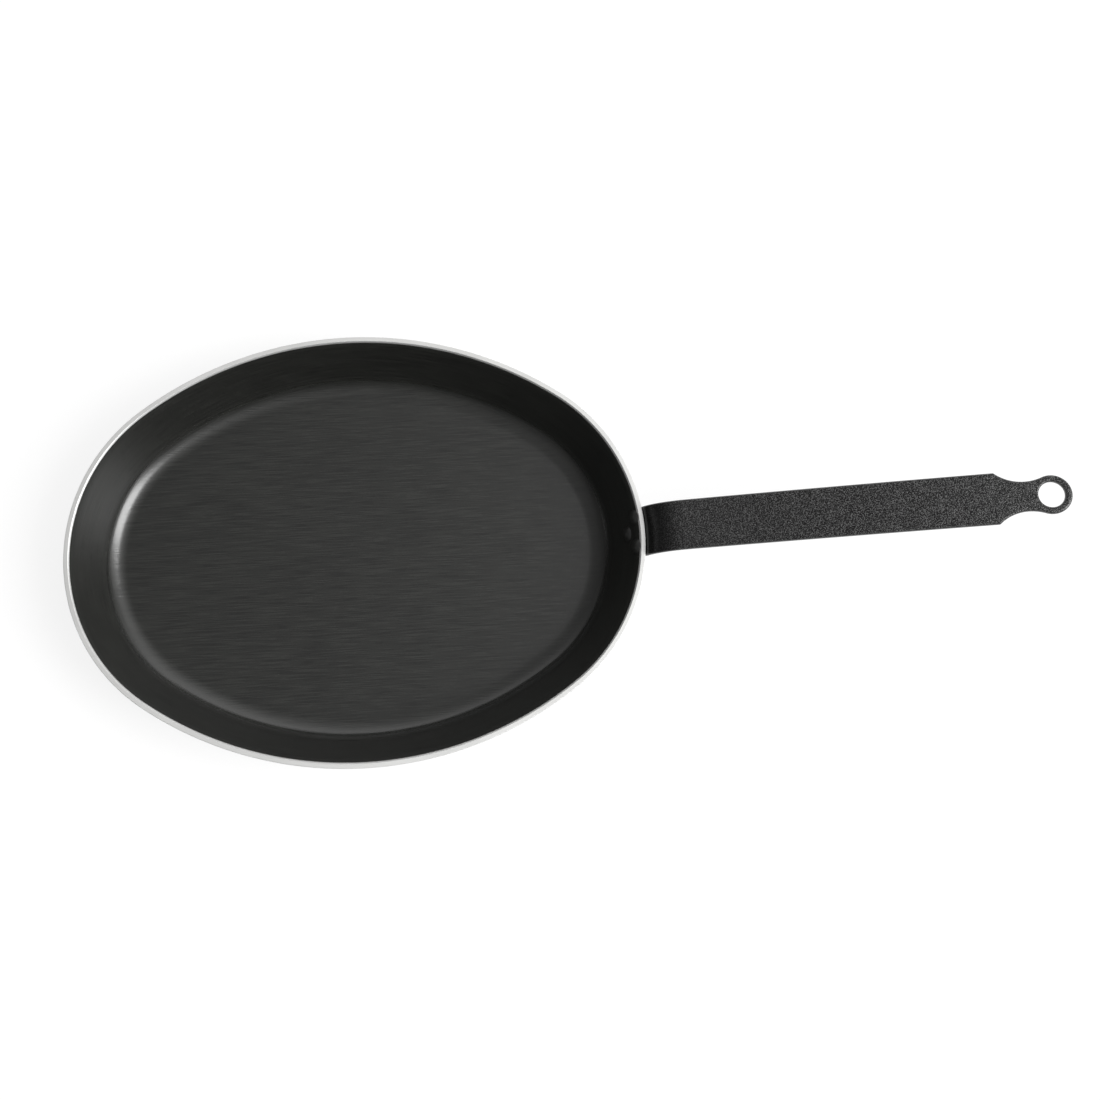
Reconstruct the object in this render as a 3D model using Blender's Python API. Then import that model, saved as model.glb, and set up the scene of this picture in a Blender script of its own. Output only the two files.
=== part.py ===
"""Oval fish pan: a pressed aluminium pan, a bent steel strip handle and three rivets.

Metres, +Z up. The origin is the middle of the base's underside, +X runs along the
pan's long axis towards the handle, and the pan stands on the plane z = 0.
"""
import math

import bmesh
import bpy
from mathutils import Vector

# Pan body: outline of the rim, seen from above
RIM_HALF_LENGTH = 0.1800
RIM_HALF_WIDTH = 0.1344
END_ARC_HALF_ANGLE = math.radians(54.5)

# Pan body: section through the wall
PAN_HEIGHT = 0.0450
WALL_SLOPE = math.radians(68.0)
SHEET_THICKNESS = 0.0033
INNER_CORNER_RADIUS = 0.0150
RIM_CHAMFER = 0.0009
RIM_EDGE_ROUND = 0.0005

# Strip handle: section, bend and rise
STRIP_WIDTH = 0.0307
STRIP_THICKNESS = 0.0035
STRIP_EDGE_ROUND = 0.0009
BEND_START_DEPTH = 0.0015
BEND_RADIUS = 0.0330
GRIP_SLOPE = math.radians(14.2)
GRIP_ARCH_RADIUS = 2.8
GRIP_LENGTH = 0.1795

# Strip handle: outline of its two ends
PAD_CORNER_RADIUS = 0.0090
PAD_MARGIN = 0.0085
SHOULDER_ROUND = 0.0012
SHOULDER_TO_NECK = 0.0168
NECK_TO_EYE = 0.0139
NECK_WAIST = 0.0026
EYE_HOLE_DIAMETER = 0.0148
EYE_RING_WIDTH = 0.0041

# Rivets: two side by side under the rim and one below them
RIVET_SHANK_DIAMETER = 0.0048
RIVET_HEAD_DIAMETER = 0.0105
RIVET_HEAD_HEIGHT = 0.0021
RIVET_TAIL_DIAMETER = 0.0090
RIVET_TAIL_HEIGHT = 0.0024
RIVET_EDGE_THICKNESS = 0.0004
RIVET_RIM_MARGIN = 0.0015
RIVET_EDGE_DISTANCE = 0.0059
RIVET_HEAD_GAP = 0.0033

# Fits between neighbours
SEAT_CLEARANCE = 0.0003
HOLE_CLEARANCE = 0.0003

# Facets
END_ARC_STEPS = 30
SIDE_ARC_STEPS = 24
CORNER_STEPS = 6
EDGE_STEPS = 2
BEND_STEPS = 9
GRIP_STEPS = 5
PAD_STRIPS = 10
PAD_CORNER_STEPS = 6
SHOULDER_STEPS = 3
SWEEP_STEPS = 6
FLARE_STEPS = 4
EYE_STEPS = 12
EYE_HOLE_SIDES = 36
HOLE_SIDES = 20
RIVET_SIDES = 24
HEAD_STEPS = 5
TAIL_STEPS = 4
SMOOTH_ANGLE = math.radians(32.0)

# The rim is an oval of four arcs: the end arcs meet the side arcs with one tangent
ARC_SHARE = math.tan(math.pi / 4 - END_ARC_HALF_ANGLE / 2)
END_RADIUS = (RIM_HALF_WIDTH - RIM_HALF_LENGTH * ARC_SHARE) / (1 - ARC_SHARE)
END_CENTRE = RIM_HALF_LENGTH - END_RADIUS
SIDE_RADIUS = END_RADIUS + END_CENTRE / math.cos(END_ARC_HALF_ANGLE)
SIDE_CENTRE = SIDE_RADIUS - RIM_HALF_WIDTH

# The wall's outer face, carried straight on up to the rim's level, would end this far
# outside the rounded rim edge
RIM_EDGE_TURN = math.pi - WALL_SLOPE
RIM_OVERHANG = RIM_EDGE_ROUND * (math.tan(RIM_EDGE_TURN / 2) - 1)
WALL_TOP_RADIUS = END_RADIUS + RIM_OVERHANG

RIVET_SPREAD = max(STRIP_WIDTH - 2 * RIVET_EDGE_DISTANCE, RIVET_HEAD_DIAMETER + RIVET_HEAD_GAP)
RIVET_PITCH = RIVET_HEAD_DIAMETER + RIVET_HEAD_GAP
RIVET_ROW_SPACING = math.sqrt(RIVET_PITCH ** 2 - (RIVET_SPREAD / 2) ** 2)
UPPER_RIVET_DEPTH = RIVET_RIM_MARGIN + RIVET_HEAD_DIAMETER / 2
LOWER_RIVET_DEPTH = UPPER_RIVET_DEPTH + RIVET_ROW_SPACING
HOLE_RADIUS = RIVET_SHANK_DIAMETER / 2 + HOLE_CLEARANCE

PAD_LENGTH = LOWER_RIVET_DEPTH + PAD_MARGIN - BEND_START_DEPTH
BEND_LENGTH = BEND_RADIUS * (WALL_SLOPE - GRIP_SLOPE)
BEND_END = PAD_LENGTH + BEND_LENGTH
SHOULDER_STATION = BEND_END + GRIP_LENGTH
NECK_STATION = SHOULDER_STATION + SHOULDER_TO_NECK
EYE_STATION = NECK_STATION + NECK_TO_EYE
EYE_RADIUS = EYE_HOLE_DIAMETER / 2 + EYE_RING_WIDTH
NECK_HALF_WIDTH = EYE_RADIUS - NECK_WAIST


# Pan body

def oval_ring(inset, height):
    """Four-arc oval parallel to the rim, moved in by inset."""
    points = []
    side_half_angle = math.pi / 2 - END_ARC_HALF_ANGLE
    arcs = (
        (END_CENTRE, 0.0, END_RADIUS, 0.0, END_ARC_HALF_ANGLE, END_ARC_STEPS),
        (0.0, -SIDE_CENTRE, SIDE_RADIUS, math.pi / 2, side_half_angle, SIDE_ARC_STEPS),
        (-END_CENTRE, 0.0, END_RADIUS, math.pi, END_ARC_HALF_ANGLE, END_ARC_STEPS),
        (0.0, SIDE_CENTRE, SIDE_RADIUS, -math.pi / 2, side_half_angle, SIDE_ARC_STEPS),
    )
    for centre_x, centre_y, radius, middle, half_angle, steps in arcs:
        for step in range(steps):
            angle = middle - half_angle + 2 * half_angle * step / steps
            x = centre_x + (radius - inset) * math.cos(angle)
            y = centre_y + (radius - inset) * math.sin(angle)
            points.append(Vector((x, y, height)))
    return points


def wall_section():
    """Section of the sheet as (inset from the rim, height), in three runs: the outside from
    the base up, the rim's inner chamfer, and the inside from the wall down to the floor."""
    outer_corner = INNER_CORNER_RADIUS + SHEET_THICKNESS
    wall_foot = outer_corner * (1 - math.cos(WALL_SLOPE))
    corner_inset = (PAN_HEIGHT - wall_foot) / math.tan(WALL_SLOPE) - RIM_OVERHANG
    corner_inset += outer_corner * math.sin(WALL_SLOPE)

    def round_off(inset, height, radius, start, turn, steps):
        points = []
        for i in range(steps + 1):
            angle = start + turn * i / steps
            points.append((inset - radius * math.sin(angle), height - radius * math.cos(angle)))
        return points

    outside = round_off(corner_inset, outer_corner, outer_corner, 0.0, WALL_SLOPE, CORNER_STEPS)
    edge_height = PAN_HEIGHT - RIM_EDGE_ROUND
    outside += round_off(
        RIM_EDGE_ROUND, edge_height, RIM_EDGE_ROUND, WALL_SLOPE, RIM_EDGE_TURN, EDGE_STEPS
    )

    inner_wall = SHEET_THICKNESS / math.sin(WALL_SLOPE) - RIM_OVERHANG
    chamfer_foot = inner_wall + RIM_CHAMFER / math.tan(WALL_SLOPE)
    rim = [(inner_wall - RIM_CHAMFER, PAN_HEIGHT), (chamfer_foot, PAN_HEIGHT - RIM_CHAMFER)]

    inside = round_off(
        corner_inset, outer_corner, INNER_CORNER_RADIUS, WALL_SLOPE, -WALL_SLOPE, CORNER_STEPS
    )
    return outside, rim, inside


def wall_point(depth, angle, offset):
    """Point by the handle end's wall: depth down the slope from the rim, angle about the end
    arc's centre, and offset out from the wall's outer face."""
    radius = WALL_TOP_RADIUS - depth * math.cos(WALL_SLOPE) + offset * math.sin(WALL_SLOPE)
    height = PAN_HEIGHT - depth * math.sin(WALL_SLOPE) - offset * math.cos(WALL_SLOPE)
    return Vector((END_CENTRE + radius * math.cos(angle), radius * math.sin(angle), height))


def rivet_places():
    """Name, depth below the rim and angle of each rivet."""
    upper_radius = WALL_TOP_RADIUS - UPPER_RIVET_DEPTH * math.cos(WALL_SLOPE)
    upper_angle = math.asin(RIVET_SPREAD / 2 / upper_radius)
    return (
        ("rivet_upper_left", UPPER_RIVET_DEPTH, upper_angle),
        ("rivet_upper_right", UPPER_RIVET_DEPTH, -upper_angle),
        ("rivet_lower", LOWER_RIVET_DEPTH, 0.0),
    )


def add_ring(bm, points):
    return [bm.verts.new(point) for point in points]


def bridge(bm, first, second, material=0):
    """Quads between two rings of the same count."""
    count = len(first)
    for i in range(count):
        j = (i + 1) % count
        face = bm.faces.new((first[i], first[j], second[j], second[i]))
        face.material_index = material


def make_object(name, bm, materials):
    bmesh.ops.recalc_face_normals(bm, faces=bm.faces)
    mesh = bpy.data.meshes.new(name)
    bm.to_mesh(mesh)
    bm.free()
    for material in materials:
        mesh.materials.append(material)
    mesh.shade_smooth()
    mesh.set_sharp_from_angle(angle=SMOOTH_ANGLE)
    thing = bpy.data.objects.new(name, mesh)
    bpy.context.scene.collection.objects.link(thing)
    return thing


def make_rivet_cutters():
    """One mesh of three rods, square to the wall, that cut the rivet holes."""
    bm = bmesh.new()
    reach = SHEET_THICKNESS * 2
    for _, depth, angle in rivet_places():
        start = wall_point(depth, angle, -SHEET_THICKNESS - reach)
        end = wall_point(depth, angle, reach)
        turn = (end - start).to_track_quat("Z", "Y")
        rings = []
        for centre in (start, end):
            ring = []
            for i in range(HOLE_SIDES):
                around = 2 * math.pi * i / HOLE_SIDES
                spoke = Vector((HOLE_RADIUS * math.cos(around), HOLE_RADIUS * math.sin(around), 0))
                ring.append(centre + turn @ spoke)
            rings.append(add_ring(bm, ring))
        bridge(bm, rings[0], rings[1])
        bm.faces.new(reversed(rings[0]))
        bm.faces.new(rings[1])
    cutters = make_object("rivet_hole_cutters", bm, [])
    cutters.hide_render = True
    cutters.display_type = "WIRE"
    return cutters


def make_pan_body(aluminium, coating):
    """One pressed sheet: base, outer corner, wall, rim, inner corner and floor."""
    outside, rim, inside = wall_section()
    section = outside + rim + inside
    coated_from = len(outside) + len(rim) - 1
    bm = bmesh.new()
    rings = [add_ring(bm, oval_ring(inset, height)) for inset, height in section]
    for i in range(len(rings) - 1):
        bridge(bm, rings[i], rings[i + 1], material=1 if i >= coated_from else 0)
    bm.faces.new(reversed(rings[0]))
    floor = bm.faces.new(rings[-1])
    floor.material_index = 1
    body = make_object("pan_body", bm, [aluminium, coating])
    holes = body.modifiers.new("rivet_holes", "BOOLEAN")
    holes.operation = "DIFFERENCE"
    holes.solver = "EXACT"
    holes.object = make_rivet_cutters()
    return body


# Strip handle: cut as a flat blank, then bent

def arc(centre, radius, start, end, steps):
    """Points and outward normals on an arc, both ends included."""
    out = []
    for i in range(steps + 1):
        angle = start + (end - start) * i / steps
        normal = Vector((math.cos(angle), math.sin(angle)))
        out.append((Vector(centre) + radius * normal, normal))
    return out


def blank_half_outline():
    """One side of the blank, from the pad's end to the eye's tip, as points with outward normals.
    The first value of a point runs along the strip and the second across it."""
    half = STRIP_WIDTH / 2
    quarter = math.pi / 2
    pad_centre = (PAD_CORNER_RADIUS, half - PAD_CORNER_RADIUS)
    pad = arc(pad_centre, PAD_CORNER_RADIUS, math.pi, quarter, PAD_CORNER_STEPS)

    # The shoulder sweeps in to the neck on an arc that is level at the neck
    drop = half - NECK_HALF_WIDTH
    sweep_angle = 2 * math.atan(drop / SHOULDER_TO_NECK)
    sweep_radius = SHOULDER_TO_NECK / math.sin(sweep_angle)
    sweep_centre = (NECK_STATION, NECK_HALF_WIDTH + sweep_radius)

    # The rounded shoulder touches the strip's edge and, from inside, the sweep
    round_y = half - SHOULDER_ROUND
    reach = math.sqrt((sweep_radius + SHOULDER_ROUND) ** 2 - (sweep_centre[1] - round_y) ** 2)
    round_centre = (NECK_STATION - reach, round_y)
    meet = math.atan2(sweep_centre[1] - round_y, reach)
    shoulder = arc(round_centre, SHOULDER_ROUND, quarter, meet, SHOULDER_STEPS)

    # The neck flares out on an arc that touches the eye's ring
    flare_radius = NECK_TO_EYE ** 2 + NECK_HALF_WIDTH ** 2 - EYE_RADIUS ** 2
    flare_radius /= 2 * (EYE_RADIUS - NECK_HALF_WIDTH)
    flare_centre = (NECK_STATION, NECK_HALF_WIDTH + flare_radius)
    touch = math.atan2(flare_centre[1], -NECK_TO_EYE)

    sweep = arc(sweep_centre, sweep_radius, meet - math.pi, -quarter, SWEEP_STEPS)
    flare = arc(flare_centre, flare_radius, -quarter, touch - math.pi, FLARE_STEPS)
    eye = arc((EYE_STATION, 0.0), EYE_RADIUS, touch, 0.0, EYE_STEPS)
    hollow = [(point, -normal) for point, normal in sweep[1:] + flare[1:]]
    return pad + shoulder + hollow + eye[1:]


def blank_outline():
    """The whole blank, both sides."""
    side = blank_half_outline()
    other = [(Vector((p.x, -p.y)), Vector((n.x, -n.y))) for p, n in reversed(side[:-1])]
    return side + other


def circle_outline(centre, radius, sides):
    """A hole's edge, with normals that point into the hole."""
    ring = arc(centre, radius, 0.0, 2 * math.pi, sides)[:-1]
    return [(point, -normal) for point, normal in ring]


def rounded_edge_levels():
    """Depth through the strip and inset of each ring of a rounded edge."""
    levels = []
    for i in range(EDGE_STEPS + 1):
        angle = math.pi / 2 * i / EDGE_STEPS
        depth = STRIP_EDGE_ROUND * (1 - math.sin(angle))
        levels.append((depth, STRIP_EDGE_ROUND * (1 - math.cos(angle))))
    levels.reverse()
    return levels + [(STRIP_THICKNESS - depth, inset) for depth, inset in reversed(levels)]


def square_edge_levels():
    return [(0.0, 0.0), (STRIP_THICKNESS, 0.0)]


def add_edge(bm, outline, levels):
    """Rings of one outline through the strip's thickness. Returns the top and bottom loops."""
    rings = []
    for depth, inset in levels:
        points = [point - normal * inset for point, normal in outline]
        rings.append(add_ring(bm, [Vector((p.x, p.y, -depth)) for p in points]))
    for i in range(len(rings) - 1):
        bridge(bm, rings[i], rings[i + 1])
    return rings[0], rings[-1]


def loop_edges(ring):
    edges = []
    for i, vert in enumerate(ring):
        following = ring[(i + 1) % len(ring)]
        edges.append(next(edge for edge in vert.link_edges if edge.other_vert(vert) is following))
    return edges


def cut_across(bm, point, normal, low=-1.0, high=10.0):
    """Split the faces that lie between two stations along a plane."""
    faces = [face for face in bm.faces if low <= face.calc_center_median().x <= high]
    around = {vert for face in faces for vert in face.verts}
    edges = {edge for face in faces for edge in face.edges}
    bmesh.ops.bisect_plane(
        bm, geom=list(around) + list(edges) + faces, dist=1e-7, plane_co=point, plane_no=normal
    )


def strip_line(station, depth):
    """X and z of the strip's middle line at a station, depth below its pan side."""
    start = wall_point(BEND_START_DEPTH, 0.0, SEAT_CLEARANCE)
    on_pad = min(station - PAD_LENGTH, 0.0)
    in_bend = min(max(station - PAD_LENGTH, 0.0), BEND_LENGTH)
    on_grip = max(station - BEND_END, 0.0)
    x = start.x + on_pad * math.cos(WALL_SLOPE)
    z = start.z + on_pad * math.sin(WALL_SLOPE)
    slope = WALL_SLOPE
    for run, radius in ((in_bend, BEND_RADIUS), (on_grip, GRIP_ARCH_RADIUS)):
        ahead = slope - run / radius
        x += radius * (math.sin(slope) - math.sin(ahead))
        z += radius * (math.cos(ahead) - math.cos(slope))
        slope = ahead
    return x + depth * math.sin(slope), z - depth * math.cos(slope)


def bend_point(flat):
    """Where a point of the flat blank goes: the pad lies round the pan's end, the grip is flat."""
    station, across, depth = flat.x, flat.y, -flat.z
    x, z = strip_line(station, depth)
    face_x, _ = strip_line(station, 0.0)
    angle = across / (face_x - END_CENTRE)
    radius = x - END_CENTRE
    wrapped = Vector((END_CENTRE + radius * math.cos(angle), radius * math.sin(angle), z))
    straight = Vector((x, across, z))
    through = min(max((station - PAD_LENGTH) / BEND_LENGTH, 0.0), 1.0)
    return wrapped.lerp(straight, through * through * (3 - 2 * through))


def make_handle(paint):
    bm = bmesh.new()
    loops = [add_edge(bm, blank_outline(), rounded_edge_levels())]
    eye_hole = circle_outline((EYE_STATION, 0.0), EYE_HOLE_DIAMETER / 2, EYE_HOLE_SIDES)
    loops.append(add_edge(bm, eye_hole, rounded_edge_levels()))
    for _, depth, angle in rivet_places():
        face_radius = wall_point(depth, 0.0, SEAT_CLEARANCE).x - END_CENTRE
        centre = (PAD_LENGTH + BEND_START_DEPTH - depth, angle * face_radius)
        loops.append(add_edge(bm, circle_outline(centre, HOLE_RADIUS, HOLE_SIDES), square_edge_levels()))
    for side in (0, 1):
        edges = [edge for loop in loops for edge in loop_edges(loop[side])]
        bmesh.ops.triangle_fill(bm, use_beauty=True, use_dissolve=False, edges=edges)

    # Cut lines where the strip is to bend
    ahead = Vector((1, 0, 0))
    for i in range(BEND_STEPS + 1):
        cut_across(bm, Vector((PAD_LENGTH + BEND_LENGTH * i / BEND_STEPS, 0, 0)), ahead)
    for i in range(1, GRIP_STEPS):
        cut_across(bm, Vector((BEND_END + GRIP_LENGTH * i / GRIP_STEPS, 0, 0)), ahead)
    for i in range(1, PAD_STRIPS):
        across = STRIP_WIDTH * (i / PAD_STRIPS - 0.5)
        cut_across(bm, Vector((0, across, 0)), Vector((0, 1, 0)), high=BEND_END)

    for vert in bm.verts:
        vert.co = bend_point(vert.co)
    bmesh.ops.triangulate(bm, faces=[face for face in bm.faces if len(face.verts) > 3])
    return make_object("handle", bm, [paint])


# Rivets

def dome(radius, height, steps):
    """Profile of a low dome from its apex to its rim, as (radius, height above the seat)."""
    rise = height - RIVET_EDGE_THICKNESS
    sphere = (radius ** 2 + rise ** 2) / (2 * rise)
    half_angle = math.asin(radius / sphere)
    points = []
    for i in range(1, steps + 1):
        angle = half_angle * i / steps
        points.append((sphere * math.sin(angle), height - sphere * (1 - math.cos(angle))))
    return points


def bend_departure(depth):
    """How far the strip has bent away from the wall's slope at a depth below the rim."""
    past = max(BEND_START_DEPTH - depth, 0.0)
    return BEND_RADIUS * (1 - math.cos(past / BEND_RADIUS))


def make_rivet(name, depth, angle, metal):
    """Low head inside the pan, shank through wall and strip, domed tail outside. Its seats
    follow the wall's curve, as a rivet that is set in place does."""
    inside_seat = -SHEET_THICKNESS - SEAT_CLEARANCE
    outside_seat = SEAT_CLEARANCE + STRIP_THICKNESS + SEAT_CLEARANCE
    outside_seat += bend_departure(depth - RIVET_TAIL_DIAMETER / 2)
    shank = RIVET_SHANK_DIAMETER / 2
    head = dome(RIVET_HEAD_DIAMETER / 2, RIVET_HEAD_HEIGHT, HEAD_STEPS)
    tail = dome(RIVET_TAIL_DIAMETER / 2, RIVET_TAIL_HEIGHT, TAIL_STEPS)

    profile = [(radius, inside_seat - height) for radius, height in head]
    profile += [(RIVET_HEAD_DIAMETER / 2, inside_seat), (shank, inside_seat)]
    profile += [(shank, outside_seat), (RIVET_TAIL_DIAMETER / 2, outside_seat)]
    profile += [(radius, outside_seat + height) for radius, height in reversed(tail)]

    wall_radius = WALL_TOP_RADIUS - depth * math.cos(WALL_SLOPE)

    def place(radius, around, offset):
        down = radius * math.cos(around)
        across = radius * math.sin(around)
        return wall_point(depth + down, angle + across / wall_radius, offset)

    bm = bmesh.new()
    turns = [2 * math.pi * i / RIVET_SIDES for i in range(RIVET_SIDES)]
    rings = []
    for radius, offset in profile:
        rings.append(add_ring(bm, [place(radius, around, offset) for around in turns]))
    for i in range(len(rings) - 1):
        bridge(bm, rings[i], rings[i + 1])
    ends = (
        (rings[0], inside_seat - RIVET_HEAD_HEIGHT),
        (rings[-1], outside_seat + RIVET_TAIL_HEIGHT),
    )
    for ring, offset in ends:
        apex = bm.verts.new(place(0.0, 0.0, offset))
        for i in range(RIVET_SIDES):
            bm.faces.new((ring[i], ring[(i + 1) % RIVET_SIDES], apex))
    return make_object(name, bm, [metal])


# Materials

def make_material(name, colour, roughness, metallic):
    material = bpy.data.materials.new(name)
    material.use_nodes = True
    shader = material.node_tree.nodes["Principled BSDF"]
    shader.inputs["Base Color"].default_value = (*colour, 1.0)
    shader.inputs["Roughness"].default_value = roughness
    shader.inputs["Metallic"].default_value = metallic
    material.diffuse_color = (*colour, 1.0)
    return material


def clear_scene():
    for thing in list(bpy.data.objects):
        bpy.data.objects.remove(thing, do_unlink=True)


def main():
    clear_scene()
    aluminium = make_material("brushed_aluminium", (0.70, 0.70, 0.69), 0.35, 1.0)
    coating = make_material("nonstick_coating", (0.035, 0.036, 0.035), 0.45, 0.0)
    paint = make_material("hammered_enamel", (0.050, 0.052, 0.055), 0.40, 0.2)
    make_pan_body(aluminium, coating)
    make_handle(paint)
    for name, depth, angle in rivet_places():
        rivet_metal = make_material(name + "_metal", (0.040, 0.041, 0.040), 0.40, 0.0)
        make_rivet(name, depth, angle, rivet_metal)


main()
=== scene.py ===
"""Looks of the oval fish pan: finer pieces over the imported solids, materials, floor,
studio light and camera.

Metres, +Z up, in the frame of the solids: the origin is the middle of the base's
underside and +X runs along the pan's long axis towards the handle.
"""

import math

import bmesh
import bpy
from mathutils import Euler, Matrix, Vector


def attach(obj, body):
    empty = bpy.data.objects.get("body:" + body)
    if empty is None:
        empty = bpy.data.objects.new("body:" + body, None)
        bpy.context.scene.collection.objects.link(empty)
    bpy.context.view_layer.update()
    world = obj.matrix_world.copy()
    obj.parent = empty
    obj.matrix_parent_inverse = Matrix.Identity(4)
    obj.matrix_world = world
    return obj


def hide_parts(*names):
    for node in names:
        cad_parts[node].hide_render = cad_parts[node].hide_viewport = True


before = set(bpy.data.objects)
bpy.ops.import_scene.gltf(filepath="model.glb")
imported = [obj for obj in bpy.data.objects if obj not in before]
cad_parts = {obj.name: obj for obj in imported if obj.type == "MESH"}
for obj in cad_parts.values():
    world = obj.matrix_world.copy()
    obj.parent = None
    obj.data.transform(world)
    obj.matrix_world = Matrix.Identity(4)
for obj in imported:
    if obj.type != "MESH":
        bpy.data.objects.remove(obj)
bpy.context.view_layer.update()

# Pan body: outline of the rim and section through the wall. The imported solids' facets lie up
# to FACET_SAG inside the true oval, so the oval is drawn that much smaller here.
FACET_SAG = 0.00004
RIM_HALF_LENGTH = 0.1800 - FACET_SAG
RIM_HALF_WIDTH = 0.1344 - FACET_SAG
END_ARC_HALF_ANGLE = math.radians(54.5)
PAN_HEIGHT = 0.0450
WALL_SLOPE = math.radians(68.0)
SHEET_THICKNESS = 0.0033
COAT_THICKNESS = 0.00004
INNER_CORNER_RADIUS = 0.0150
RIM_CHAMFER = 0.0006
RIM_EDGE_ROUND = 0.0005
RIM_EDGE_BREAK = 0.0001

# Strip handle: section, bend and rise
STRIP_WIDTH = 0.0307
STRIP_THICKNESS = 0.0035
STRIP_EDGE_ROUND = 0.0014
BEND_START_DEPTH = 0.0015
BEND_RADIUS = 0.0330
GRIP_SLOPE = math.radians(14.2)
GRIP_ARCH_RADIUS = 2.8
GRIP_LENGTH = 0.1795

# Strip handle: outline of its two ends
PAD_CORNER_RADIUS = 0.0090
PAD_MARGIN = 0.0085
SHOULDER_ROUND = 0.0012
SHOULDER_TO_NECK = 0.0168
NECK_TO_EYE = 0.0139
NECK_WAIST = 0.0026
EYE_HOLE_DIAMETER = 0.0148
EYE_RING_WIDTH = 0.0041

# Rivets
RIVET_SHANK_DIAMETER = 0.0048
RIVET_HEAD_DIAMETER = 0.0105
RIVET_HEAD_HEIGHT = 0.0021
RIVET_TAIL_DIAMETER = 0.0090
RIVET_TAIL_HEIGHT = 0.0024
RIVET_EDGE_THICKNESS = 0.0004
HEAD_EDGE_THICKNESS = 0.0001
RIVET_RIM_MARGIN = 0.0015
RIVET_EDGE_DISTANCE = 0.0059
RIVET_HEAD_GAP = 0.0033

# Gaps, as in the solids. Only the heads are drawn closer to the wall, so that they look set.
SEAT_CLEARANCE = 0.0003
HOLE_CLEARANCE = 0.0003
HEAD_CLEARANCE = 0.00003

# How finely the curves are cut
END_ARC_STEPS = 120
SIDE_ARC_STEPS = 72
CORNER_STEPS = 20
EDGE_STEPS = 8
BREAK_STEPS = 3
WALL_STEPS = 5
FLAT_RINGS = 5
BEND_STEPS = 44
GRIP_STEPS = 30
PAD_STRIPS = 24
OUTLINE_STEPS = 20
EYE_STEPS = 48
EYE_HOLE_SIDES = 96
HOLE_SIDES = 48
RIVET_SIDES = 64
DOME_STEPS = 14
SMOOTH_ANGLE = math.radians(32.0)
CUT_TOLERANCE = 1e-7

# Points beside an arc that keep the flats flat when shaded, as shares of the arc's radius
CORNER_GUARD = 0.2
STRIP_EDGE_GUARD = 0.3

# The rim is an oval of four arcs: the end arcs meet the side arcs with one tangent
ARC_SHARE = math.tan(math.pi / 4 - END_ARC_HALF_ANGLE / 2)
END_RADIUS = (RIM_HALF_WIDTH - RIM_HALF_LENGTH * ARC_SHARE) / (1 - ARC_SHARE)
END_CENTRE = RIM_HALF_LENGTH - END_RADIUS
SIDE_RADIUS = END_RADIUS + END_CENTRE / math.cos(END_ARC_HALF_ANGLE)
SIDE_CENTRE = SIDE_RADIUS - RIM_HALF_WIDTH
RIM_EDGE_TURN = math.pi - WALL_SLOPE
RIM_OVERHANG = RIM_EDGE_ROUND * (math.tan(RIM_EDGE_TURN / 2) - 1)
WALL_TOP_RADIUS = END_RADIUS + RIM_OVERHANG

# The rivets' heads stand in a triangle, each a pitch from the next or further
RIVET_PITCH = RIVET_HEAD_DIAMETER + RIVET_HEAD_GAP
RIVET_SPREAD = max(STRIP_WIDTH - 2 * RIVET_EDGE_DISTANCE, RIVET_PITCH)
RIVET_ROW_SPACING = math.sqrt(RIVET_PITCH ** 2 - (RIVET_SPREAD / 2) ** 2)
UPPER_RIVET_DEPTH = RIVET_RIM_MARGIN + RIVET_HEAD_DIAMETER / 2
LOWER_RIVET_DEPTH = UPPER_RIVET_DEPTH + RIVET_ROW_SPACING
HOLE_RADIUS = RIVET_SHANK_DIAMETER / 2 + HOLE_CLEARANCE

PAD_LENGTH = LOWER_RIVET_DEPTH + PAD_MARGIN - BEND_START_DEPTH
BEND_LENGTH = BEND_RADIUS * (WALL_SLOPE - GRIP_SLOPE)
BEND_END = PAD_LENGTH + BEND_LENGTH
SHOULDER_STATION = BEND_END + GRIP_LENGTH
NECK_STATION = SHOULDER_STATION + SHOULDER_TO_NECK
EYE_STATION = NECK_STATION + NECK_TO_EYE
EYE_RADIUS = EYE_HOLE_DIAMETER / 2 + EYE_RING_WIDTH
NECK_HALF_WIDTH = EYE_RADIUS - NECK_WAIST


# Mesh helpers

def add_ring(bm, points):
    return [bm.verts.new(point) for point in points]


def bridge(bm, first, second, material=0):
    """Quads between two rings of the same count."""
    count = len(first)
    for i in range(count):
        j = (i + 1) % count
        face = bm.faces.new((first[i], first[j], second[j], second[i]))
        face.material_index = material


def make_object(name, bm, materials):
    bmesh.ops.recalc_face_normals(bm, faces=bm.faces)
    mesh = bpy.data.meshes.new(name)
    bm.to_mesh(mesh)
    bm.free()
    for material in materials:
        mesh.materials.append(material)
    thing = bpy.data.objects.new(name, mesh)
    bpy.context.scene.collection.objects.link(thing)
    smooth(thing)
    return thing


def smooth(thing):
    thing.data.shade_smooth()
    thing.data.set_sharp_from_angle(angle=SMOOTH_ANGLE)


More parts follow.
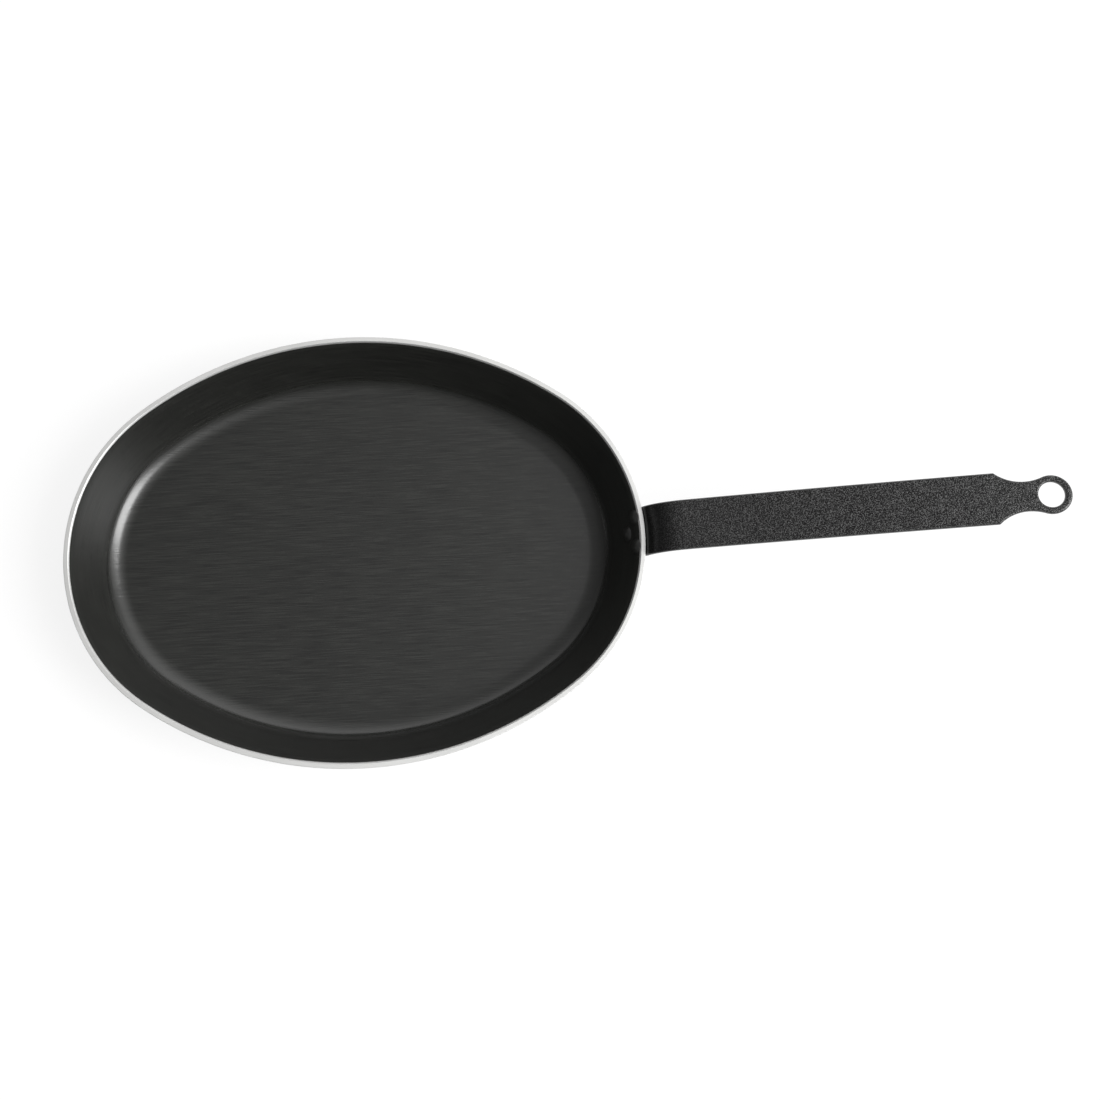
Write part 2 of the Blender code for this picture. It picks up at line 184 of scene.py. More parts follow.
def rounded(corners):
    """Line of points through corners given as (inset, height, radius, steps). Each corner
    is an arc, and a point close to each of its ends keeps the flats flat when shaded."""
    points = [Vector(corners[0][:2])]
    for before, corner, after in zip(corners, corners[1:], corners[2:]):
        middle = Vector(corner[:2])
        back = (Vector(before[:2]) - middle).normalized()
        ahead = (Vector(after[:2]) - middle).normalized()
        radius, steps = corner[2], corner[3]
        half = back.angle(ahead) / 2
        reach = radius / math.tan(half)
        centre = middle + (back + ahead).normalized() * (radius / math.sin(half))
        start = middle + back * reach - centre
        turn = math.pi - 2 * half
        if back.x * ahead.y - back.y * ahead.x > 0:
            turn = -turn
        guard = radius * CORNER_GUARD
        points.append(middle + back * (reach + guard))
        for i in range(steps + 1):
            angle = turn * i / steps
            cos, sin = math.cos(angle), math.sin(angle)
            spoke = Vector((start.x * cos - start.y * sin, start.x * sin + start.y * cos))
            points.append(centre + spoke)
        points.append(middle + ahead * (reach + guard))
    points.append(Vector(corners[-1][:2]))
    return points


# Pan body

def oval_ring(inset, height):
    """Four-arc oval parallel to the rim, moved in by inset."""
    points = []
    side_half_angle = math.pi / 2 - END_ARC_HALF_ANGLE
    arcs = (
        (END_CENTRE, 0.0, END_RADIUS, 0.0, END_ARC_HALF_ANGLE, END_ARC_STEPS),
        (0.0, -SIDE_CENTRE, SIDE_RADIUS, math.pi / 2, side_half_angle, SIDE_ARC_STEPS),
        (-END_CENTRE, 0.0, END_RADIUS, math.pi, END_ARC_HALF_ANGLE, END_ARC_STEPS),
        (0.0, SIDE_CENTRE, SIDE_RADIUS, -math.pi / 2, side_half_angle, SIDE_ARC_STEPS),
    )
    for centre_x, centre_y, radius, middle, half_angle, steps in arcs:
        for step in range(steps):
            angle = middle - half_angle + 2 * half_angle * step / steps
            x = centre_x + (radius - inset) * math.cos(angle)
            y = centre_y + (radius - inset) * math.sin(angle)
            points.append(Vector((x, y, height)))
    return points


def wall_line(face_inset, height):
    """Inset of a face of the sloping wall at a height, from its inset at the rim's level."""
    return face_inset + (PAN_HEIGHT - height) / math.tan(WALL_SLOPE)


def wall_point(depth, angle, offset):
    """Point by the handle end's wall: depth down the slope from the rim, angle about the end
    arc's centre, and offset out from the wall's outer face."""
    radius = WALL_TOP_RADIUS - depth * math.cos(WALL_SLOPE) + offset * math.sin(WALL_SLOPE)
    height = PAN_HEIGHT - depth * math.sin(WALL_SLOPE) - offset * math.cos(WALL_SLOPE)
    return Vector((END_CENTRE + radius * math.cos(angle), radius * math.sin(angle), height))


def rivet_places():
    """Name, depth below the rim and angle of each rivet."""
    upper_radius = WALL_TOP_RADIUS - UPPER_RIVET_DEPTH * math.cos(WALL_SLOPE)
    upper_angle = math.asin(RIVET_SPREAD / 2 / upper_radius)
    return (
        ("rivet_upper_left", UPPER_RIVET_DEPTH, upper_angle),
        ("rivet_upper_right", UPPER_RIVET_DEPTH, -upper_angle),
        ("rivet_lower", LOWER_RIVET_DEPTH, 0.0),
    )


# Insets, at the rim's level, of the wall's faces and of the chamfer's upper edge. The metal
# face lies under the coat.
OUTER_FACE = -RIM_OVERHANG
INNER_FACE = SHEET_THICKNESS / math.sin(WALL_SLOPE) - RIM_OVERHANG
METAL_FACE = INNER_FACE - COAT_THICKNESS / math.sin(WALL_SLOPE)
CHAMFER_TOP = INNER_FACE - RIM_CHAMFER

# Level of the metal under the coat, and how far in the rings of the flat middle go
METAL_FLOOR = SHEET_THICKNESS - COAT_THICKNESS
FLAT_SHARE = 0.9
FLAT_INSET = FLAT_SHARE * END_RADIUS


def chamfer_meets(face):
    """Where the rim's 45 degree chamfer meets a face of the wall."""
    fall = (face - CHAMFER_TOP) / (1 - 1 / math.tan(WALL_SLOPE))
    return CHAMFER_TOP + fall, PAN_HEIGHT - fall


def split_run(start, end, steps):
    return [start.lerp(end, i / steps) for i in range(1, steps)]


def flat_run(start):
    """Rings across the flat middle, from a corner's end in to the last ring."""
    end = Vector((FLAT_INSET, start.y))
    return split_run(start, end, FLAT_RINGS) + [end]


def with_wall_rings(points):
    """Share out rings along the longest straight run."""
    gaps = [(b - a).length for a, b in zip(points, points[1:])]
    longest = gaps.index(max(gaps))
    start, end = points[longest], points[longest + 1]
    return points[: longest + 1] + split_run(start, end, WALL_STEPS) + points[longest + 1:]


def sheet_section():
    """The metal from the middle of the base, round the rim, to the middle of the floor."""
    outer_radius = INNER_CORNER_RADIUS + SHEET_THICKNESS
    metal_radius = INNER_CORNER_RADIUS + COAT_THICKNESS
    foot = chamfer_meets(METAL_FACE)
    base_middle = (RIM_HALF_WIDTH / 2, 0.0)
    floor_middle = (RIM_HALF_WIDTH / 2, METAL_FLOOR)
    outside = rounded([
        base_middle,
        (wall_line(OUTER_FACE, 0.0), 0.0, outer_radius, CORNER_STEPS),
        (OUTER_FACE, PAN_HEIGHT, RIM_EDGE_ROUND, EDGE_STEPS),
        (CHAMFER_TOP, PAN_HEIGHT, RIM_EDGE_BREAK, BREAK_STEPS),
        foot,
    ])
    inside = rounded([
        foot,
        (wall_line(METAL_FACE, METAL_FLOOR), METAL_FLOOR, metal_radius, CORNER_STEPS),
        floor_middle,
    ])
    base_side = list(reversed(flat_run(outside[1])))
    floor_side = flat_run(inside[-2])
    outside = with_wall_rings(outside[1:-1])
    inside = [inside[0]] + split_run(inside[0], inside[1], WALL_STEPS) + inside[1:-1]
    return base_side + outside + inside + floor_side


def coat_section():
    """The coat's closed loop, from the middle of its face up to the chamfer and back under."""
    loops = []
    for face, level in ((INNER_FACE, SHEET_THICKNESS), (METAL_FACE, METAL_FLOOR)):
        radius = INNER_CORNER_RADIUS + SHEET_THICKNESS - level
        top = Vector(chamfer_meets(face))
        run = rounded([
            top,
            (wall_line(face, level), level, radius, CORNER_STEPS),
            (RIM_HALF_WIDTH / 2, level),
        ])
        run = [top] + split_run(top, run[1], WALL_STEPS) + run[1:-1]
        loops.append(run + flat_run(run[-1]))
    return list(reversed(loops[0])) + loops[1]


def make_rivet_cutters():
    """One mesh of three rods, square to the wall, that cut the rivet holes."""
    bm = bmesh.new()
    reach = SHEET_THICKNESS * 2
    turns = [2 * math.pi * i / HOLE_SIDES for i in range(HOLE_SIDES)]
    spokes = []
    for turn in turns:
        spokes.append(Vector((HOLE_RADIUS * math.cos(turn), HOLE_RADIUS * math.sin(turn), 0)))
    for _, depth, angle in rivet_places():
        start = wall_point(depth, angle, -SHEET_THICKNESS - reach)
        end = wall_point(depth, angle, reach)
        facing = (end - start).to_track_quat("Z", "Y")
        first = add_ring(bm, [start + facing @ spoke for spoke in spokes])
        last = add_ring(bm, [end + facing @ spoke for spoke in spokes])
        bridge(bm, first, last)
        bm.faces.new(reversed(first))
        bm.faces.new(last)
    return make_object("rivet_hole_cutters", bm, [])


def make_shell(name, section, material, cutters):
    """Closed shell over a section swept round the oval, with the rivet holes cut."""
    bm = bmesh.new()
    rings = [add_ring(bm, oval_ring(point.x, point.y)) for point in section]
    for first, second in zip(rings, rings[1:]):
        bridge(bm, first, second)
    bm.faces.new(reversed(rings[0]))
    bm.faces.new(rings[-1])
    shell = make_object(name, bm, [material])
    holes = shell.modifiers.new("rivet_holes", "BOOLEAN")
    holes.operation = "DIFFERENCE"
    holes.solver = "EXACT"
    holes.object = cutters
    evaluated = shell.evaluated_get(bpy.context.evaluated_depsgraph_get())
    shell.data = bpy.data.meshes.new_from_object(evaluated)
    shell.modifiers.clear()
    smooth(shell)
    return shell


# Strip handle: cut as a flat blank, then bent

def arc(centre, radius, start, end, steps):
    """Points and outward normals on an arc, both ends included."""
    out = []
    for i in range(steps + 1):
        angle = start + (end - start) * i / steps
        normal = Vector((math.cos(angle), math.sin(angle)))
        out.append((Vector(centre) + radius * normal, normal))
    return out


def blank_half_outline():
    """One side of the blank, from the pad's end to the eye's tip, as points with outward
    normals. The first value of a point runs along the strip and the second across it."""
    half = STRIP_WIDTH / 2
    quarter = math.pi / 2
    pad_centre = (PAD_CORNER_RADIUS, half - PAD_CORNER_RADIUS)
    pad = arc(pad_centre, PAD_CORNER_RADIUS, math.pi, quarter, OUTLINE_STEPS)

    # The shoulder sweeps in to the neck on an arc that is level at the neck
    drop = half - NECK_HALF_WIDTH
    sweep_angle = 2 * math.atan(drop / SHOULDER_TO_NECK)
    sweep_radius = SHOULDER_TO_NECK / math.sin(sweep_angle)
    sweep_centre = (NECK_STATION, NECK_HALF_WIDTH + sweep_radius)

    # The rounded shoulder touches the strip's edge and, from inside, the sweep
    round_y = half - SHOULDER_ROUND
    reach = math.sqrt((sweep_radius + SHOULDER_ROUND) ** 2 - (sweep_centre[1] - round_y) ** 2)
    round_centre = (NECK_STATION - reach, round_y)
    meet = math.atan2(sweep_centre[1] - round_y, reach)
    shoulder = arc(round_centre, SHOULDER_ROUND, quarter, meet, EDGE_STEPS)

    # The neck flares out on an arc that touches the eye's ring
    flare_radius = NECK_TO_EYE ** 2 + NECK_HALF_WIDTH ** 2 - EYE_RADIUS ** 2
    flare_radius /= 2 * (EYE_RADIUS - NECK_HALF_WIDTH)
    flare_centre = (NECK_STATION, NECK_HALF_WIDTH + flare_radius)
    touch = math.atan2(flare_centre[1], -NECK_TO_EYE)

    sweep = arc(sweep_centre, sweep_radius, meet - math.pi, -quarter, OUTLINE_STEPS)
    flare = arc(flare_centre, flare_radius, -quarter, touch - math.pi, OUTLINE_STEPS)
    eye = arc((EYE_STATION, 0.0), EYE_RADIUS, touch, 0.0, EYE_STEPS)
    hollow = [(point, -normal) for point, normal in sweep[1:] + flare[1:]]
    return pad + shoulder + hollow + eye[1:]


def blank_outline():
    """The whole blank, both sides."""
    side = blank_half_outline()
    other = [(Vector((p.x, -p.y)), Vector((n.x, -n.y))) for p, n in reversed(side[:-1])]
    return side + other


def circle_outline(centre, radius, sides):
    """A hole's edge, with normals that point into the hole."""
    ring = arc(centre, radius, 0.0, 2 * math.pi, sides)[:-1]
    return [(point, -normal) for point, normal in ring]


def rounded_edge_levels():
    """Depth through the strip and inset of each ring of a rounded edge, with one ring more
    on the flat that keeps it flat when shaded."""
    levels = []
    for i in range(EDGE_STEPS + 1):
        angle = math.pi / 2 * i / EDGE_STEPS
        depth = STRIP_EDGE_ROUND * (1 - math.sin(angle))
        levels.append((depth, STRIP_EDGE_ROUND * (1 - math.cos(angle))))
    levels.append((0.0, STRIP_EDGE_ROUND * (1 + STRIP_EDGE_GUARD)))
    levels.reverse()
    return levels + [(STRIP_THICKNESS - depth, inset) for depth, inset in reversed(levels)]


def square_edge_levels():
    return [(0.0, 0.0), (STRIP_THICKNESS, 0.0)]


def add_edge(bm, outline, levels):
    """Rings of one outline through the strip's thickness. Returns the top and bottom loops."""
    rings = []
    for depth, inset in levels:
        points = [point - normal * inset for point, normal in outline]
        rings.append(add_ring(bm, [Vector((p.x, p.y, -depth)) for p in points]))
    for first, second in zip(rings, rings[1:]):
        bridge(bm, first, second)
    return rings[0], rings[-1]


def loop_edges(ring):
    edges = []
    for i, vert in enumerate(ring):
        following = ring[(i + 1) % len(ring)]
        joined = (edge for edge in vert.link_edges if edge.other_vert(vert) is following)
        edges.append(next(joined))
    return edges


def cut_across(bm, point, normal, last_station=math.inf):
    """Split the faces up to a station along a plane."""
    faces = [face for face in bm.faces if face.calc_center_median().x <= last_station]
    verts = {vert for face in faces for vert in face.verts}
    edges = {edge for face in faces for edge in face.edges}
    geometry = list(verts) + list(edges) + faces
    bmesh.ops.bisect_plane(
        bm, geom=geometry, dist=CUT_TOLERANCE, plane_co=point, plane_no=normal
    )


def strip_line(station, depth):
    """X and z of the strip's middle line at a station, depth below its pan side."""
    start = wall_point(BEND_START_DEPTH, 0.0, SEAT_CLEARANCE)
    on_pad = min(station - PAD_LENGTH, 0.0)
    in_bend = min(max(station - PAD_LENGTH, 0.0), BEND_LENGTH)
    on_grip = max(station - BEND_END, 0.0)
    x = start.x + on_pad * math.cos(WALL_SLOPE)
    z = start.z + on_pad * math.sin(WALL_SLOPE)
    slope = WALL_SLOPE
    for run, radius in ((in_bend, BEND_RADIUS), (on_grip, GRIP_ARCH_RADIUS)):
        ahead = slope - run / radius
        x += radius * (math.sin(slope) - math.sin(ahead))
        z += radius * (math.cos(ahead) - math.cos(slope))
        slope = ahead
    return x + depth * math.sin(slope), z - depth * math.cos(slope)


def bend_point(flat):
    """Where a point of the flat blank goes: the pad lies round the pan's end, the grip is flat,
    and the bend eases from one to the other."""
    station, across, depth = flat.x, flat.y, -flat.z
    x, z = strip_line(station, depth)
    face_x, _ = strip_line(station, 0.0)
    angle = across / (face_x - END_CENTRE)
    radius = x - END_CENTRE
    wrapped = Vector((END_CENTRE + radius * math.cos(angle), radius * math.sin(angle), z))
    straight = Vector((x, across, z))
    through = min(max((station - PAD_LENGTH) / BEND_LENGTH, 0.0), 1.0)
    return wrapped.lerp(straight, through * through * (3 - 2 * through))


def make_handle(paint):
    bm = bmesh.new()
    loops = [add_edge(bm, blank_outline(), rounded_edge_levels())]
    eye_hole = circle_outline((EYE_STATION, 0.0), EYE_HOLE_DIAMETER / 2, EYE_HOLE_SIDES)
    loops.append(add_edge(bm, eye_hole, rounded_edge_levels()))
    for _, depth, angle in rivet_places():
        face_radius = wall_point(depth, 0.0, SEAT_CLEARANCE).x - END_CENTRE
        centre = (PAD_LENGTH + BEND_START_DEPTH - depth, angle * face_radius)
        hole = circle_outline(centre, HOLE_RADIUS, HOLE_SIDES)
        loops.append(add_edge(bm, hole, square_edge_levels()))
    for side in (0, 1):
        edges = [edge for loop in loops for edge in loop_edges(loop[side])]
        bmesh.ops.triangle_fill(bm, use_beauty=True, use_dissolve=False, edges=edges)

    # Cut lines where the strip is to bend
    ahead = Vector((1, 0, 0))
    for i in range(BEND_STEPS + 1):
        cut_across(bm, Vector((PAD_LENGTH + BEND_LENGTH * i / BEND_STEPS, 0, 0)), ahead)
    for i in range(1, GRIP_STEPS):
        cut_across(bm, Vector((BEND_END + GRIP_LENGTH * i / GRIP_STEPS, 0, 0)), ahead)
    for i in range(1, PAD_STRIPS):
        across = STRIP_WIDTH * (i / PAD_STRIPS - 0.5)
        cut_across(bm, Vector((0, across, 0)), Vector((0, 1, 0)), last_station=BEND_END)

    for vert in bm.verts:
        vert.co = bend_point(vert.co)
    bmesh.ops.triangulate(bm, faces=[face for face in bm.faces if len(face.verts) > 3])
    return make_object("strip_handle", bm, [paint])


# Rivets

def dome(radius, height, edge):
    """Profile of a low dome from its apex to its rim, as (radius, height above the seat)."""
    rise = height - edge
    sphere = (radius ** 2 + rise ** 2) / (2 * rise)
    half_angle = math.asin(radius / sphere)
    points = []
    for i in range(1, DOME_STEPS + 1):
        angle = half_angle * i / DOME_STEPS
        points.append((sphere * math.sin(angle), height - sphere * (1 - math.cos(angle))))
    return points


def bend_departure(depth):
    """How far the strip has bent away from the wall's slope at a depth below the rim."""
    past = max(BEND_START_DEPTH - depth, 0.0)
    return BEND_RADIUS * (1 - math.cos(past / BEND_RADIUS))


def make_rivet(name, depth, angle, coat, metal):
    """Low coated head inside the pan, shank through wall and strip, domed bare tail outside."""
    inside_seat = -SHEET_THICKNESS - HEAD_CLEARANCE
    outside_seat = SEAT_CLEARANCE + STRIP_THICKNESS + SEAT_CLEARANCE
    outside_seat += bend_departure(depth - RIVET_TAIL_DIAMETER / 2)
    shank = RIVET_SHANK_DIAMETER / 2
    head = dome(RIVET_HEAD_DIAMETER / 2, RIVET_HEAD_HEIGHT, HEAD_EDGE_THICKNESS)
    tail = dome(RIVET_TAIL_DIAMETER / 2, RIVET_TAIL_HEIGHT, RIVET_EDGE_THICKNESS)

    profile = [(radius, inside_seat - height) for radius, height in head]
    profile += [(RIVET_HEAD_DIAMETER / 2, inside_seat), (shank, inside_seat)]
    profile += [(shank, outside_seat), (RIVET_TAIL_DIAMETER / 2, outside_seat)]
    profile += [(radius, outside_seat + height) for radius, height in reversed(tail)]

    wall_radius = WALL_TOP_RADIUS - depth * math.cos(WALL_SLOPE)

    def place(radius, around, offset):
        down = radius * math.cos(around)
        across = radius * math.sin(around)
        return wall_point(depth + down, angle + across / wall_radius, offset)

    bm = bmesh.new()
    turns = [2 * math.pi * i / RIVET_SIDES for i in range(RIVET_SIDES)]
    rings = []
    for radius, offset in profile:
        rings.append(add_ring(bm, [place(radius, around, offset) for around in turns]))
    for i in range(len(rings) - 1):
        bridge(bm, rings[i], rings[i + 1], material=0 if i <= DOME_STEPS else 1)
    ends = (
        (rings[0], inside_seat - RIVET_HEAD_HEIGHT, 0),
        (rings[-1], outside_seat + RIVET_TAIL_HEIGHT, 1),
    )
    for ring, offset, material in ends:
        apex = bm.verts.new(place(0.0, 0.0, offset))
        for i in range(RIVET_SIDES):
            face = bm.faces.new((ring[i], ring[(i + 1) % RIVET_SIDES], apex))
            face.material_index = material
    return make_object(name, bm, [coat, metal])


# Materials

class Nodes:
    """Short ways to add and join the nodes of one tree."""

    def __init__(self, tree):
        self.tree = tree

    def add(self, kind, **settings):
        node = self.tree.nodes.new("ShaderNode" + kind)
        for name, value in settings.items():
            setattr(node, name, value)
        return node

    def join(self, output, socket):
        self.tree.links.new(output, socket)

    def give(self, socket, value):
        """Sets a socket to a number, or joins another node's output to it."""
        if isinstance(value, (int, float)):
            socket.default_value = value
        else:
            self.join(value, socket)

    def split(self, vector):
        """The x, y and z of a vector."""
        parts = self.add("SeparateXYZ")
        self.join(vector, parts.inputs[0])
        return parts.outputs

    def place(self, stretch=(1.0, 1.0, 1.0)):
        """The frame's coordinates times a number per axis."""
        coordinates = self.add("TexCoord")
        mapping = self.add("Mapping")
        mapping.inputs["Scale"].default_value = stretch
        self.join(coordinates.outputs["Object"], mapping.inputs["Vector"])
        return mapping.outputs["Vector"]

    def noise(self, stretch, detail):
        """Noise from 0 to 1 with so many cells per metre, a number for each axis."""
        noise = self.add("TexNoise")
        noise.inputs["Scale"].default_value = 1.0
        noise.inputs["Detail"].default_value = detail
        noise.inputs["Roughness"].default_value = 0.5
        self.join(self.place(stretch), noise.inputs["Vector"])
        return noise.outputs["Fac"]

    def even_noise(self, cells_per_metre, detail):
        return self.noise((cells_per_metre,) * 3, detail)

    def math(self, operation, *values):
        node = self.add("Math", operation=operation)
        for socket, value in zip(node.inputs, values):
            self.give(socket, value)
        return node.outputs[0]

    def weigh(self, first, second, share):
        """First times its share, plus second times the rest."""
        first = self.math("MULTIPLY", first, share)
        return self.math("ADD", first, self.math("MULTIPLY", second, 1 - share))

    def ramp(self, value, span, onto=(0.0, 1.0)):
        """Value taken from one range into another, with eased ends."""
        node = self.add("MapRange", interpolation_type="SMOOTHSTEP")
        for name, number in zip(("From Min", "From Max", "To Min", "To Max"), span + onto):
            node.inputs[name].default_value = number
        self.join(value, node.inputs["Value"])
        return node.outputs["Result"]

    def between(self, factor, first, second):
        """A number from first to second as the factor goes from 0 to 1."""
        node = self.add("Mix", data_type="FLOAT")
        for name, value in (("Factor", factor), ("A", first), ("B", second)):
            self.give(node.inputs[name], value)
        return node.outputs["Result"]

    def mix(self, factor, first, second):
        """A colour from first to second as the factor goes from 0 to 1."""
        node = self.add("Mix", data_type="RGBA")
        self.join(factor, node.inputs["Factor"])
        for name, value in (("A", first), ("B", second)):
            socket = next(s for s in node.inputs if s.name == name and s.type == "RGBA")
            if isinstance(value, tuple):
                socket.default_value = (*value, 1.0)
            else:
                self.join(value, socket)
        return next(s for s in node.outputs if s.type == "RGBA")

    def upward(self):
        """Upward part of the surface's normal: one on a level top, minus one underneath."""
        return self.split(self.add("NewGeometry").outputs["Normal"])["Z"]

    def flatness(self, span=(0.70, 0.97)):
        """One where the surface lies level, none where it stands up."""
        return self.ramp(self.math("ABSOLUTE", self.upward()), span)

    def bump(self, height, distance, before=None):
        node = self.add("Bump")
        node.inputs["Distance"].default_value = distance
        self.join(height, node.inputs["Height"])
        if before is not None:
            self.join(before, node.inputs["Normal"])
        return node.outputs["Normal"]


def new_material(name, **constants):
    """A material with constants set on its shader, as its nodes and its shader's inputs."""
    material = bpy.data.materials.new(name)
    material.use_nodes = True
    shader = material.node_tree.nodes["Principled BSDF"]
    for socket, value in constants.items():
        shader.inputs[socket.replace("_", " ")].default_value = value
    return material, Nodes(material.node_tree), shader.inputs


# In every material below, tones are linear colours from dark to light, satin is the
# roughness from low to high, and depths are the heights of bumps in metres.
UNIT_SPAN = (0.0, 1.0)
NOISE_SPAN = (0.3, 0.7)
LINES_SPAN = (0.25, 0.75)
SPRAY_CELLS = 2600.0

# Brush lines, and the strokes that they come in
BRUSH_PITCH = 0.0006
BRUSH_LENGTH = 0.022
STROKE_LENGTH = 0.007
STROKE_WIDTH = 0.002
STROKE_SPAN = (0.40, 0.62)
STROKE_STRENGTH = (0.15, 1.0)
WALL_TO_LEVEL_STRENGTH = (0.4, 1.0)


def brush_lines(nodes):
    """Fine lines in short strokes: along the pan on level faces, and round it on the wall."""
    along, across = 1 / BRUSH_LENGTH, 1 / BRUSH_PITCH
    level = nodes.noise((along, across, along), detail=0.0)
    upright = nodes.noise((along, along, across), detail=0.0)
    flat = nodes.flatness()
    lines = nodes.between(flat, upright, level)
    strokes = nodes.noise((1 / STROKE_LENGTH, 1 / STROKE_WIDTH, 1 / STROKE_LENGTH), detail=2.0)
    depth = nodes.ramp(strokes, STROKE_SPAN, STROKE_STRENGTH)
    depth = nodes.math("MULTIPLY", depth, nodes.ramp(flat, UNIT_SPAN, WALL_TO_LEVEL_STRENGTH))
    swing = nodes.math("MULTIPLY", nodes.math("SUBTRACT", lines, 0.5), depth)
    return nodes.math("ADD", swing, 0.5)


COAT_TONES = ((0.0058, 0.0061, 0.0051), (0.0172, 0.0179, 0.0154))
COAT_CLOUD_CELLS = 30.0
COAT_LINES_SHARE = 0.9
COAT_TONE_SPAN = (0.41, 0.59)
COAT_SATIN = (0.19, 0.26)
COAT_WALL_SPAN = (0.40, 0.75)
COAT_WALL_EXTRA_SATIN = 0.16
COAT_LINE_DEPTH = 0.00012
COAT_SPRAY_DEPTH = 0.000006


def make_coat_material():
    """Dark non-stick coat over a brushed ground, a little warm and green."""
    material, nodes, shader = new_material("nonstick_coat", Specular_IOR_Level=1.0)
    lines = brush_lines(nodes)
    clouds = nodes.even_noise(COAT_CLOUD_CELLS, detail=3.0)
    tone = nodes.ramp(nodes.weigh(lines, clouds, COAT_LINES_SHARE), COAT_TONE_SPAN)
    nodes.join(nodes.mix(tone, *COAT_TONES), shader["Base Color"])
    satin = nodes.ramp(lines, LINES_SPAN, COAT_SATIN)
    wall = nodes.ramp(nodes.flatness(COAT_WALL_SPAN), UNIT_SPAN, (COAT_WALL_EXTRA_SATIN, 0.0))
    nodes.join(nodes.math("ADD", satin, wall), shader["Roughness"])
    spray = nodes.even_noise(SPRAY_CELLS, detail=1.0)
    normal = nodes.bump(lines, COAT_LINE_DEPTH)
    nodes.join(nodes.bump(spray, COAT_SPRAY_DEPTH, normal), shader["Normal"])
    return material


HEAD_TONES = ((0.0145, 0.0149, 0.0138), (0.0200, 0.0204, 0.0192))
HEAD_CLOUD_CELLS = 300.0
HEAD_SATIN = (0.30, 0.38)
HEAD_SPRAY_DEPTH = 0.000008


def make_head_coat_material():
    """The same coat on the rivet heads, sprayed and without brush lines."""
    material, nodes, shader = new_material("rivet_head_coat", Specular_IOR_Level=1.0)
    clouds = nodes.even_noise(HEAD_CLOUD_CELLS, detail=2.0)
    nodes.join(nodes.mix(nodes.ramp(clouds, NOISE_SPAN), *HEAD_TONES), shader["Base Color"])
    nodes.join(nodes.ramp(clouds, NOISE_SPAN, HEAD_SATIN), shader["Roughness"])
    spray = nodes.even_noise(SPRAY_CELLS, detail=1.0)
    nodes.join(nodes.bump(spray, HEAD_SPRAY_DEPTH), shader["Normal"])
    return material


RIM_TONES = ((0.78, 0.78, 0.77), (0.84, 0.84, 0.83))
# Painted highlight: the rim's chamfer and rounded edges are drawn brighter than its flat top
RIM_CHAMFER_HIGHLIGHT_TONE = (0.97, 0.97, 0.96)
OUTSIDE_TONES = ((0.52, 0.52, 0.51), (0.60, 0.60, 0.59))
RIM_FROM_UPWARD = (0.45, 0.65)
ALUMINIUM_CLOUD_CELLS = 25.0
ALUMINIUM_SATIN = (0.66, 0.76)
OFF_LEVEL_LESS_SATIN = 0.20
ALUMINIUM_LINE_DEPTH = 0.000012


def make_aluminium_material():
    """Bare satin aluminium: bright on the cut rim, and greyer on the wall and base outside. Its
    chamfer and rounded edges are drawn brighter still, as a painted highlight line."""
    material, nodes, shader = new_material("brushed_aluminium", Metallic=1.0)
    lines = brush_lines(nodes)
    cloudy = nodes.ramp(nodes.even_noise(ALUMINIUM_CLOUD_CELLS, detail=3.0), NOISE_SPAN)
    flat = nodes.flatness()
    # The rim's sloping faces take the painted highlight tone, and its flat top the plain rim
    # tones
    rim = nodes.mix(flat, RIM_CHAMFER_HIGHLIGHT_TONE, nodes.mix(cloudy, *RIM_TONES))
    on_rim = nodes.ramp(nodes.upward(), RIM_FROM_UPWARD)
    tone = nodes.mix(on_rim, nodes.mix(cloudy, *OUTSIDE_TONES), rim)
    nodes.join(tone, shader["Base Color"])
    satin = nodes.ramp(lines, LINES_SPAN, ALUMINIUM_SATIN)
    less = nodes.ramp(flat, UNIT_SPAN, (-OFF_LEVEL_LESS_SATIN, 0.0))
    nodes.join(nodes.math("ADD", satin, less), shader["Roughness"])
    nodes.join(nodes.bump(lines, ALUMINIUM_LINE_DEPTH), shader["Normal"])
    return material


TAIL_TONES = ((0.70, 0.70, 0.69), (0.78, 0.78, 0.77))
TAIL_MARK_CELLS = 700.0
TAIL_SATIN = (0.28, 0.40)
TAIL_MARK_DEPTH = 0.000040


def make_tail_material():
    """Bare aluminium of the set rivet tails, with the hammer's small marks."""
    material, nodes, shader = new_material("rivet_tail_aluminium", Metallic=1.0)
    marks = nodes.even_noise(TAIL_MARK_CELLS, detail=2.0)
    nodes.join(nodes.mix(nodes.ramp(marks, NOISE_SPAN), *TAIL_TONES), shader["Base Color"])
    nodes.join(nodes.ramp(marks, NOISE_SPAN, TAIL_SATIN), shader["Roughness"])
    nodes.join(nodes.bump(marks, TAIL_MARK_DEPTH), shader["Normal"])
    return material


# Enamel: pits between crests, with a speckle over them
HAMMER_PITCH = 0.00065
HAMMER_SMOOTHNESS = 0.25
HAMMER_DEPTH = 0.00022
SPECKLE_SIZE = 0.00050
PITS_SHARE = 0.55

# Where the enamel changes along the strip, as x: it is smooth and dark beside the rim, a
# painted shade where the bend mirrors the pan's dark inside, and hammered from the middle of
# the bend; its crests show more strongly towards the eye, as painted glints; and its edges
# are lighter past the bend, as a painted sheen.
HAMMERED_UNSHADED_X_SPAN = (0.183, 0.203)
GLINTS_STRONGER_X_SPAN = (0.203, 0.360)
SHEEN_EDGE_X_SPAN = (0.1995, 0.2055)
SHADED_SMOOTH_TO_HAMMERED = (0.2, 1.0)
FAINT_TO_STRONG_GLINTS = (0.55, 1.3)
EDGE_SPAN = (0.55, 0.95)

